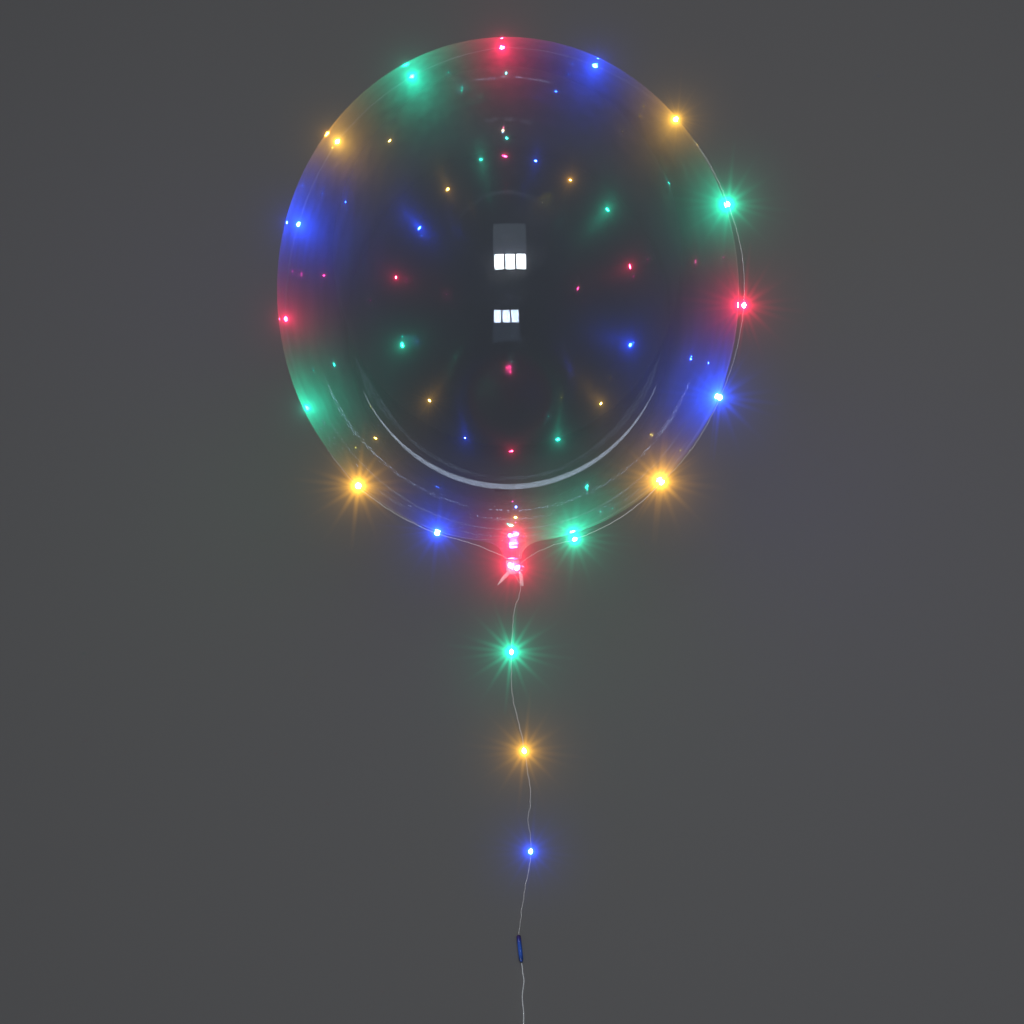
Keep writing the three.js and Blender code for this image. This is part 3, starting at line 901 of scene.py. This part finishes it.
class BALLOON_OT_film(Operator):
    """The clear film: one thin closed shell with its gathered neck and its flat spot"""

    bl_idname = "balloon.film"
    bl_label = "Film"

    def execute(self, context):
        film = settings().film
        bm = spun(film_profile(film.rows), film.sides)
        gather_neck(bm)
        bmesh.ops.transform(bm, matrix=UPRIGHT, verts=bm.verts)
        for v in bm.verts:
            v.co.z = eased_onto_floor(v.co.z)
        shell = finish_mesh(bm, "film_bubble", film_material("clear_film", film.glow))
        wall = shell.modifiers.new("wall", "SOLIDIFY")
        wall.thickness = film.thickness
        wall.offset = -1.0
        shell.visible_shadow = False
        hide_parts("balloon")
        return {"FINISHED"}


def film_profile(rows):
    """The film's radius and height from the neck's end, through its flare, to the crown."""
    flare_latitude = -math.acos(NECK_FLARE_RADIUS / FILM_RADIUS)
    flare = film_point(flare_latitude)
    throat = (NECK_RADIUS, NECK_END + MM)
    bend = (NECK_RADIUS + MM, flare[1] - NECK_BEND_DROP)
    profile = [(0.0, NECK_END), (NECK_RADIUS * NECK_LIP_SHARE, NECK_END)]
    for n in range(NECK_ROWS):
        t = n / NECK_ROWS
        shares = ((1 - t) ** 2, 2 * t * (1 - t), t**2)
        radius, height = (
            shares[0] * a + shares[1] * b + shares[2] * c for a, b, c in zip(throat, bend, flare)
        )
        profile.append((radius, height))
    for row in range(rows):
        latitude = flare_latitude + (math.pi / 2 - flare_latitude) * row / rows
        profile.append(film_point(latitude))
    return [*profile, (0.0, FILM_HALF_LENGTH)]


def eased_onto_floor(height):
    """The film's height where the floor bears it: flat below, bending smoothly away."""
    if height > SPOT_EASE_REACH:
        return height
    return SPOT_EASE * math.log1p(math.exp(height / SPOT_EASE))


def gather_neck(bm):
    """Pleats the film where it is drawn together into the neck."""
    for v in bm.verts:
        out = math.hypot(v.co.x, v.co.y)
        if v.co.z > 0 or out < 1e-6:
            continue
        past = max(0.0, out - NECK_RADIUS)
        near = math.exp(-((past / NECK_PLEAT_REACH) ** 2))
        turn = math.atan2(v.co.y, v.co.x)
        wave = sum(weight * math.sin(count * turn + shift) for count, shift, weight in NECK_PLEATS)
        scale = 1 + NECK_PLEAT_HEIGHT * near * wave
        v.co.x *= scale
        v.co.y *= scale


class BALLOON_OT_neck_tie(Operator):
    """The knotted end of the film with its two cut tails and a small loop"""

    bl_idname = "balloon.neck_tie"
    bl_label = "Neck tie"

    def execute(self, context):
        bm = bmesh.new()
        join(bm, knot_body())
        join(bm, tail(POINTED_TAIL, POINTED_TAIL_LEAN))
        join(bm, tail(SQUARE_TAIL, SQUARE_TAIL_LEAN))
        turns = [2 * math.pi * n / LOOP_STEPS for n in range(LOOP_STEPS - LOOP_OPEN_STEPS)]
        ring = [
            LOOP_CENTRE + Vector((math.cos(turn), 0, math.sin(turn))) * LOOP_RADIUS
            for turn in turns
        ]
        sweep(bm, path_frames(ring), LOOP_FILM_RADIUS, LOOP_SIDES)
        bmesh.ops.recalc_face_normals(bm, faces=bm.faces)
        bmesh.ops.transform(bm, matrix=UPRIGHT, verts=bm.verts)
        tie = finish_mesh(bm, "tied_neck", tied_film_material())
        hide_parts("neck_tie")
        return {"FINISHED"}


def knot_body():
    """The tight knot: gathered film in pleats, pinched at its middle."""
    outline = [
        (KNOT_RADIUS * radius, KNOT_TOP - KNOT_LENGTH * down) for radius, down in KNOT_OUTLINE
    ]
    bm = spun(outline, KNOT_SIDES)
    for v in bm.verts:
        turn = math.atan2(v.co.y, v.co.x)
        down = (KNOT_TOP - v.co.z) / KNOT_LENGTH
        wave = sum(
            weight * math.sin(count * turn + twist * down) for count, twist, weight in KNOT_PLEATS
        )
        swell = math.sin(math.pi * min(1, max(0, down)))
        scale = 1 - KNOT_PLEAT_DEPTH + KNOT_PLEAT_DEPTH * wave * swell
        v.co.x *= scale
        v.co.y *= scale
    return bm


def tail(line, lean):
    """A flat cut ribbon of film, curled a little along its length."""
    bm = bmesh.new()
    edges = []
    for x, depth, down, half in line:
        middle = Vector((x, depth, 0)) * MM
        middle.z = KNOT_TOP - KNOT_LENGTH - down * MM
        across = Vector((math.cos(lean), TAIL_TURN, math.sin(lean))) * half * MM
        pair = [bm.verts.new(middle - across), bm.verts.new(middle + across)]
        edges.append(bm.edges.new(pair))
    for before, after in zip(edges, edges[1:]):
        bmesh.ops.bridge_loops(bm, edges=[before, after])
    bmesh.ops.subdivide_edges(bm, edges=bm.edges, cuts=2, use_grid_fill=True, smooth=0.6)
    bmesh.ops.recalc_face_normals(bm, faces=bm.faces)
    bmesh.ops.solidify(bm, geom=bm.faces[:] + bm.edges[:] + bm.verts[:], thickness=TAIL_THICKNESS)
    bmesh.ops.recalc_face_normals(bm, faces=bm.faces)
    return bm


def join(bm, other):
    """Adds another bmesh to this one."""
    mesh = bpy.data.meshes.new("joining")
    other.to_mesh(mesh)
    other.free()
    bm.from_mesh(mesh)
    bpy.data.meshes.remove(mesh)


def tied_film_material():
    """The film bunched into the knot: milky, since its many folds scatter the light, with the nearby
    drops' glow painted on it as emission.
    """
    material = grained("bunched_film", (0.84, 0.93, 0.95), 0.3, 0.2, 500.0, 0.5, depth=0.0004)
    tree = material.node_tree
    shader = tree.nodes["Principled BSDF"]
    # The emission carries the glow of the nearby drops, painted on the knot
    set_inputs(shader, Transmission_Weight=0.12, IOR=1.45, Emission_Strength=1.3)
    glow = place_group(tree, group_named("film_glow", build_film_glow), Reach=KNOT_GLOW_REACH)
    tree.links.new(glow.outputs["Glow"], shader.inputs["Emission Color"])
    return material


class BALLOON_OT_wound_string(Operator):
    """The string round the balloon: two twisted strands from knot to knot"""

    bl_idname = "balloon.wound_string"
    bl_label = "Wound string"

    def execute(self, context):
        path = kinked(smooth_path(wound_path(), WOUND_STEP), WOUND_KINK, KINK_LENGTHS)
        wire = twisted_wire("wound_string", path, wire_material())
        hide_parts("loop_wire")
        return {"FINISHED"}


class BALLOON_OT_lights(Operator):
    """The twenty lit resin drops, each with its lamp"""

    bl_idname = "balloon.lights"
    bl_label = "Lights"

    def execute(self, context):
        lights = settings().lights
        materials = {
            colour: drop_material(
                f"lit_{colour}_drop", tuple(getattr(lights, colour)), lights.chip_strength
            )
            for colour in LIGHT_ORDER
        }
        wound = wound_path()
        free = mm(STRING_POINTS)
        for name, colour, shine in zip(LIGHT_NAMES, light_colours(), LIGHT_SHARES):
            low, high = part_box(name)
            middle = (low + high) / 2
            path = free if name in LIGHT_NAMES[:3] else wound
            at = min(range(1, len(path) - 1), key=lambda n: (path[n] - middle).length)
            along = (path[at + 1] - path[at - 1]).normalized()
            kind = name.split("_")[2]
            drop = resin_drop(f"{name}_drop", middle, along, shine, materials[kind])
            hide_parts(name)
            drop.visible_shadow = False
            drop.visible_diffuse = False
            lamp_data = bpy.data.lights.new(f"{name}_lamp", "POINT")
            lamp_data.energy = lights.lamp_power * shine
            lamp_data.color = colour
            lamp_data.shadow_soft_size = LAMP_RADIUS
            lamp = bpy.data.objects.new(f"{name}_lamp", lamp_data)
            lamp.location = middle
            context.scene.collection.objects.link(lamp)
        return {"FINISHED"}


def resin_drop(name, middle, along, shine, material):
    """A drop of resin on the wire, drawn out a little towards both ends."""
    bm = bmesh.new()
    bmesh.ops.create_uvsphere(bm, u_segments=20, v_segments=16, radius=1.0)
    heat = bm.verts.layers.float.new("heat")
    light = bm.verts.layers.float.new("shine")
    for v in bm.verts:
        share = abs(v.co.z)
        v[heat] = max(0.0, 1.0 - share * HEAT_FADE)
        v[light] = shine
        waist = 1.0 - DROP_NARROWING * share**2
        v.co.x *= BEAD_RADIUS * waist
        v.co.y *= BEAD_RADIUS * waist
        v.co.z *= BEAD_LENGTH / 2
    turn = Vector((0, 0, 1)).rotation_difference(along).to_matrix().to_4x4()
    bmesh.ops.transform(bm, matrix=Matrix.Translation(middle) @ turn, verts=bm.verts)
    return finish_mesh(bm, name, material)


class BALLOON_OT_sleeve(Operator):
    """The shrink sleeve over the joint of string and lead"""

    bl_idname = "balloon.sleeve"
    bl_label = "Shrink sleeve"

    def execute(self, context):
        length = SLEEVE_LENGTH + SLEEVE_TAPER
        profile = [(0.0, 0.0)]
        for n in range(SLEEVE_STEPS + 1):
            down = length * n / SLEEVE_STEPS
            first, second = (math.sin(down * rate) for rate in SLEEVE_WAVE_RATES)
            radius = SLEEVE_RADIUS * (SLEEVE_SHARE + SLEEVE_WAVE * first * second)
            if down < SLEEVE_LIP:
                radius *= SLEEVE_LIP_SHARE + (1 - SLEEVE_LIP_SHARE) * down / SLEEVE_LIP
            if down > SLEEVE_LENGTH:
                radius *= 1 - SLEEVE_TAPER_LOSS * (down - SLEEVE_LENGTH) / SLEEVE_TAPER
            profile.append((radius, down))
        profile.append((0.0, length))
        bm = spun(profile, SLEEVE_SIDES)
        turn = Vector((0, 0, 1)).rotation_difference(SLEEVE_AXIS).to_matrix().to_4x4()
        bmesh.ops.transform(bm, matrix=Matrix.Translation(SLEEVE_TOP) @ turn, verts=bm.verts)
        sleeve = finish_mesh(bm, "shrunk_sleeve", sleeve_material())
        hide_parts("splice_sleeve")
        return {"FINISHED"}


def sleeve_material():
    """Blue shrink tube, darkened and purple at its upper end where it was heated."""
    look = settings().wire
    material = grained("shrunk_sleeve", tuple(look.sleeve), 0.42, 0.2, 700.0, 0.4, coat=0.15)
    tree = material.node_tree
    shader = tree.nodes["Principled BSDF"]
    where = add(tree, "ShaderNodeTexCoord")
    parts = add(tree, "ShaderNodeSeparateXYZ")
    tree.links.new(where.outputs["Object"], parts.inputs[0])
    down = add(tree, "ShaderNodeMapRange")
    set_inputs(down, From_Min=SLEEVE_TOP.y, From_Max=SLEEVE_TOP.y - SLEEVE_LENGTH)
    tree.links.new(parts.outputs["Y"], down.inputs["Value"])
    ramp = add(tree, "ShaderNodeValToRGB")
    colours = (
        (0.0, (0.05, 0.02, 0.12)),
        (0.16, (0.03, 0.03, 0.26)),
        (0.4, tuple(look.sleeve)),
        (0.8, tuple(look.sleeve)),
        (1.0, tuple(0.45 * c for c in look.sleeve)),
    )
    stops = ramp.color_ramp.elements
    while len(stops) < len(colours):
        stops.new(0.5)
    for stop, (at, colour) in zip(stops, colours):
        stop.position = at
        stop.color = (*colour, 1.0)
    tree.links.new(down.outputs["Result"], ramp.inputs["Fac"])
    tree.links.new(ramp.outputs["Color"], shader.inputs["Base Color"])
    return material


class BALLOON_OT_battery_case(Operator):
    """The battery case's tray and ribbed lid, and the tie round the coil"""

    bl_idname = "balloon.battery_case"
    bl_label = "Battery case"

    def execute(self, context):
        plastic = grained("moulded_case", (0.025, 0.025, 0.03), 0.4, 0.12, 1400.0, 0.25)
        tray = softened("battery_case", "moulded_tray", plastic)
        lid = softened("battery_lid", "moulded_lid", plastic, ribs=True)
        tie_material = grained("black_tie", (0.03, 0.03, 0.035), 0.55, 0.1, 900.0, 0.2)
        tie = softened("coil_tie", "coil_wrap", tie_material)
        return {"FINISHED"}


def softened(node, name, material, ribs=False):
    """A copy of a plain solid with its doubles merged and its sharp edges rounded."""
    bm = bmesh.new()
    bm.from_mesh(NODES[node].data)
    bmesh.ops.transform(bm, matrix=NODES[node].matrix_world, verts=bm.verts)
    bmesh.ops.remove_doubles(bm, verts=bm.verts, dist=1e-6)
    bmesh.ops.dissolve_limit(bm, angle_limit=math.radians(1), verts=bm.verts, edges=bm.edges)
    sharp = [e for e in bm.edges if len(e.link_faces) == 2 and e.calc_face_angle() > SHARP_ANGLE]
    bmesh.ops.bevel(
        bm,
        geom=sharp,
        offset=CASE_ROUNDING,
        segments=2,
        profile=0.5,
        affect="EDGES",
        material=-1,
        clamp_overlap=True,
    )
    if ribs:
        low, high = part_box(node)
        middle = (low + high) / 2
        for n in range(RIB_COUNT):
            made = bmesh.ops.create_cube(bm, size=1.0)
            bmesh.ops.scale(bm, verts=made["verts"], vec=RIB_SIZE)
            step = (n - (RIB_COUNT - 1) / 2) * RIB_PITCH
            bmesh.ops.translate(
                bm,
                verts=made["verts"],
                vec=(low.x + RIB_INSET + step, middle.y, high.z + RIB_SIZE[2] * RIB_RISE),
            )
    piece = finish_mesh(bm, name, material, smooth=False)
    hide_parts(node)
    return piece


class BALLOON_OT_stage(Operator):
    """The plain pale floor and the soft studio light"""

    bl_idname = "balloon.stage"
    bl_label = "Stage"

    def execute(self, context):
        stage = settings().stage
        floor_material = grained("plain_floor", tuple(stage.floor), 0.7, 0.1, 60.0, 0.1)
        set_inputs(floor_material.node_tree.nodes["Principled BSDF"], Specular_IOR_Level=0.0)
        bm = bmesh.new()
        bmesh.ops.create_grid(bm, x_segments=8, y_segments=8, size=FLOOR_SIZE)
        bmesh.ops.translate(bm, verts=bm.verts, vec=(0, 0, -FLOOR_DROP))
        floor = finish_mesh(bm, "floor", floor_material, body=None)
        world = bpy.data.worlds.new("studio")
        world.use_nodes = True
        background = world.node_tree.nodes["Background"]
        set_inputs(background, Color=(0.86, 0.9, 1.0, 1.0), Strength=stage.fill)
        context.scene.world = world
        key_light(stage.key_power)
        thin_piece_light(stage.thin_piece_power)
        window_light(stage.window_strength)
        hoop_light(stage.hoop_power)
        context.scene.view_settings.view_transform = "Standard"
        cycles = context.scene.cycles
        cycles.max_bounces = FILM_BOUNCES
        cycles.transmission_bounces = FILM_BOUNCES
        cycles.glossy_bounces = MIRROR_BOUNCES
        cycles.sample_clamp_indirect = BRIGHTEST_BOUNCE
        cycles.caustics_reflective = False
        cycles.caustics_refractive = False
        glare(context.scene)
        return {"FINISHED"}


def area_light(name, shape, size, power):
    """An area light that the camera doesn't see."""
    data = bpy.data.lights.new(name, "AREA")
    data.shape = shape
    data.size = size
    data.energy = power
    light = bpy.data.objects.new(name, data)
    bpy.context.scene.collection.objects.link(light)
    light.visible_camera = False
    return light


def key_light(power):
    """The broad soft light over the floor. The film doesn't mirror it."""
    key = area_light("key", "DISK", KEY_SIZE, power)
    key.location = KEY_PLACE
    aim(key, KEY_TARGET)
    key.visible_glossy = False
    key.visible_transmission = False


def thin_piece_light(power):
    """A second soft light for the wire, the knot, the sleeve and the lead alone."""
    light = area_light("thin_piece_light", "DISK", THIN_LIGHT_SIZE, power)
    light.location = THIN_LIGHT_PLACE
    aim(light, THIN_LIGHT_TARGET)
    lit = bpy.data.collections.new("lit_thin_pieces")
    for name in THIN_PIECES:
        lit.objects.link(bpy.data.objects[name])
    light.light_linking.receiver_collection = lit


def aim(light, target):
    """Turns a light towards a place."""
    direction = target - light.location
    light.rotation_euler = direction.to_track_quat("-Z", "Y").to_euler()


def glowing(name, colour, strength):
    """A light-giving face, dim where its light meets an even number of the film's faces."""
    material, shader = new_material(name)
    material.cycles.emission_sampling = "NONE"
    set_inputs(shader, Base_Color=(0, 0, 0, 1), Emission_Color=(*colour, 1.0))
    tree = material.node_tree
    path = tree.nodes.new("ShaderNodeLightPath")
    odd = math_node(tree, "MODULO", path.outputs["Ray Depth"], 2.0)
    whole = math_node(tree, "MULTIPLY", odd, strength * (1 - EVEN_SHARE))
    total = math_node(tree, "ADD", whole, strength * EVEN_SHARE)
    tree.links.new(total, shader.inputs["Emission Strength"])
    return material


def window_light(strength):
    """Three panes of light with a dim wall over them, which only the film sees."""
    steps = [(n - (WINDOW_PANES - 1) / 2) * (PANE_SIZE[0] + PANE_GAP) for n in range(WINDOW_PANES)]
    panes = glowing("window_glow", (0.9, 0.96, 1.0), strength)
    light_faces("window_light", PANE_SIZE, [(step, 0, 0) for step in steps], panes)
    wall = glowing("wall_glow", (0.7, 0.85, 1.0), strength * WALL_SHARE)
    light_faces("wall_light", WALL_SIZE, [(0, WALL_LIFT, 0)], wall)


def light_faces(name, size, places, material):
    """Upright faces of light, kept out of the picture, so that only the film mirrors them."""
    bm = bmesh.new()
    for place in places:
        made = bmesh.ops.create_grid(bm, x_segments=1, y_segments=1, size=0.5)
        bmesh.ops.scale(bm, verts=made["verts"], vec=(*size, 1))
        bmesh.ops.translate(bm, verts=made["verts"], vec=place)
    upright_face = Matrix.Rotation(math.pi / 2, 4, "X")
    bmesh.ops.transform(
        bm, matrix=UPRIGHT @ Matrix.Translation(WINDOW_PLACE) @ upright_face, verts=bm.verts
    )
    light = finish_mesh(bm, name, material, smooth=False, body=None)
    light.visible_camera = False
    light.visible_diffuse = False
    light.visible_shadow = False


def hoop_light(power):
    """A curved row of lamps that narrow to its ends, aimed at the film's lower half inside."""
    step = HOOP_SWEEP / HOOP_LAMPS
    for n in range(HOOP_LAMPS):
        turn = (n + 0.5) * step - HOOP_SWEEP / 2
        narrowing = max(HOOP_TIP_SHARE, math.cos(math.pi * turn / HOOP_SWEEP))
        length = HOOP_RADIUS * step * HOOP_OVERLAP
        lamp = area_light("hoop_lamp", "RECTANGLE", length, power * narrowing)
        lamp.data.size_y = HOOP_WIDTH * narrowing
        lamp.data.spread = HOOP_SPREAD
        place = Vector((HOOP_RADIUS * math.sin(turn), HOOP_BEHIND, HOOP_RADIUS * math.cos(turn)))
        ring = (math.sin(turn), 1, math.cos(turn))
        target = Vector([at * share for at, share in zip(HOOP_TARGET, ring)])
        away = (place - target).normalized()
        along = Vector((math.cos(turn), 0, -math.sin(turn)))
        across = away.cross(along).normalized()
        along = across.cross(away)
        turned = Matrix((along, across, away)).transposed().to_4x4()
        lamp.matrix_world = UPRIGHT @ Matrix.Translation(place) @ turned
        lamp.visible_diffuse = False
        lamp.visible_glossy = False


def glare(scene):
    """Light that spreads from the lit drops in the lens: a soft halo and fine rays."""
    scene.use_nodes = True
    tree = scene.node_tree
    tree.nodes.clear()
    layers = tree.nodes.new("CompositorNodeRLayers")
    out = tree.nodes.new("CompositorNodeComposite")
    image = layers.outputs["Image"]
    for count, angle, fade, strength in RAYS:
        rays = spread(tree, image, "STREAKS", RAY_RANGE, strength)
        set_inputs(rays, Streaks=count, Streaks_Angle=math.radians(angle), Fade=fade)
        set_inputs(rays, Iterations=3, Color_Modulation=0.0)
        image = rays.outputs["Image"]
    halo = spread(tree, image, "BLOOM", HALO_RANGE, HALO_STRENGTH)
    set_inputs(halo, Size=HALO_SIZE)
    tree.links.new(halo.outputs["Image"], out.inputs["Image"])


def spread(tree, image, kind, brightness, strength):
    """A glare node on the image, for the pixels within a range of brightness."""
    node = add(tree, "CompositorNodeGlare", glare_type=kind, quality="HIGH")
    least, most = brightness
    set_inputs(node, Threshold=least, Clamp=True, Maximum=most, Strength=strength)
    tree.links.new(image, node.inputs["Image"])
    return node


class BALLOON_PT_panel(Panel):
    """Lists the steps that build the balloon"""

    bl_idname = "BALLOON_PT_panel"
    bl_label = "Lit Bubble Balloon"
    bl_space_type = "VIEW_3D"
    bl_region_type = "UI"
    bl_category = "Balloon"

    def draw(self, context):
        for step in STEPS:
            self.layout.operator(step.bl_idname)


class BalloonSettings(PropertyGroup):
    film: PointerProperty(type=FilmSettings)
    lights: PointerProperty(type=LightSettings)
    wire: PointerProperty(type=WireSettings)
    stage: PointerProperty(type=StageSettings)


STEPS = (
    BALLOON_OT_camera,
    BALLOON_OT_film,
    BALLOON_OT_neck_tie,
    BALLOON_OT_wound_string,
    BALLOON_OT_lights,
    BALLOON_OT_sleeve,
    BALLOON_OT_battery_case,
    BALLOON_OT_cords,
    BALLOON_OT_stage,
)
CLASSES = (
    FilmSettings,
    LightSettings,
    WireSettings,
    StageSettings,
    BalloonSettings,
    *STEPS,
    BALLOON_PT_panel,
)


def register():
    for cls in CLASSES:
        bpy.utils.register_class(cls)
    bpy.types.Scene.balloon = PointerProperty(type=BalloonSettings)


def unregister():
    del bpy.types.Scene.balloon
    for cls in reversed(CLASSES):
        bpy.utils.unregister_class(cls)


def main():
    register()
    for step in STEPS:
        area, action = step.bl_idname.split(".")
        getattr(getattr(bpy.ops, area), action)()


if __name__ == "__main__":
    main()
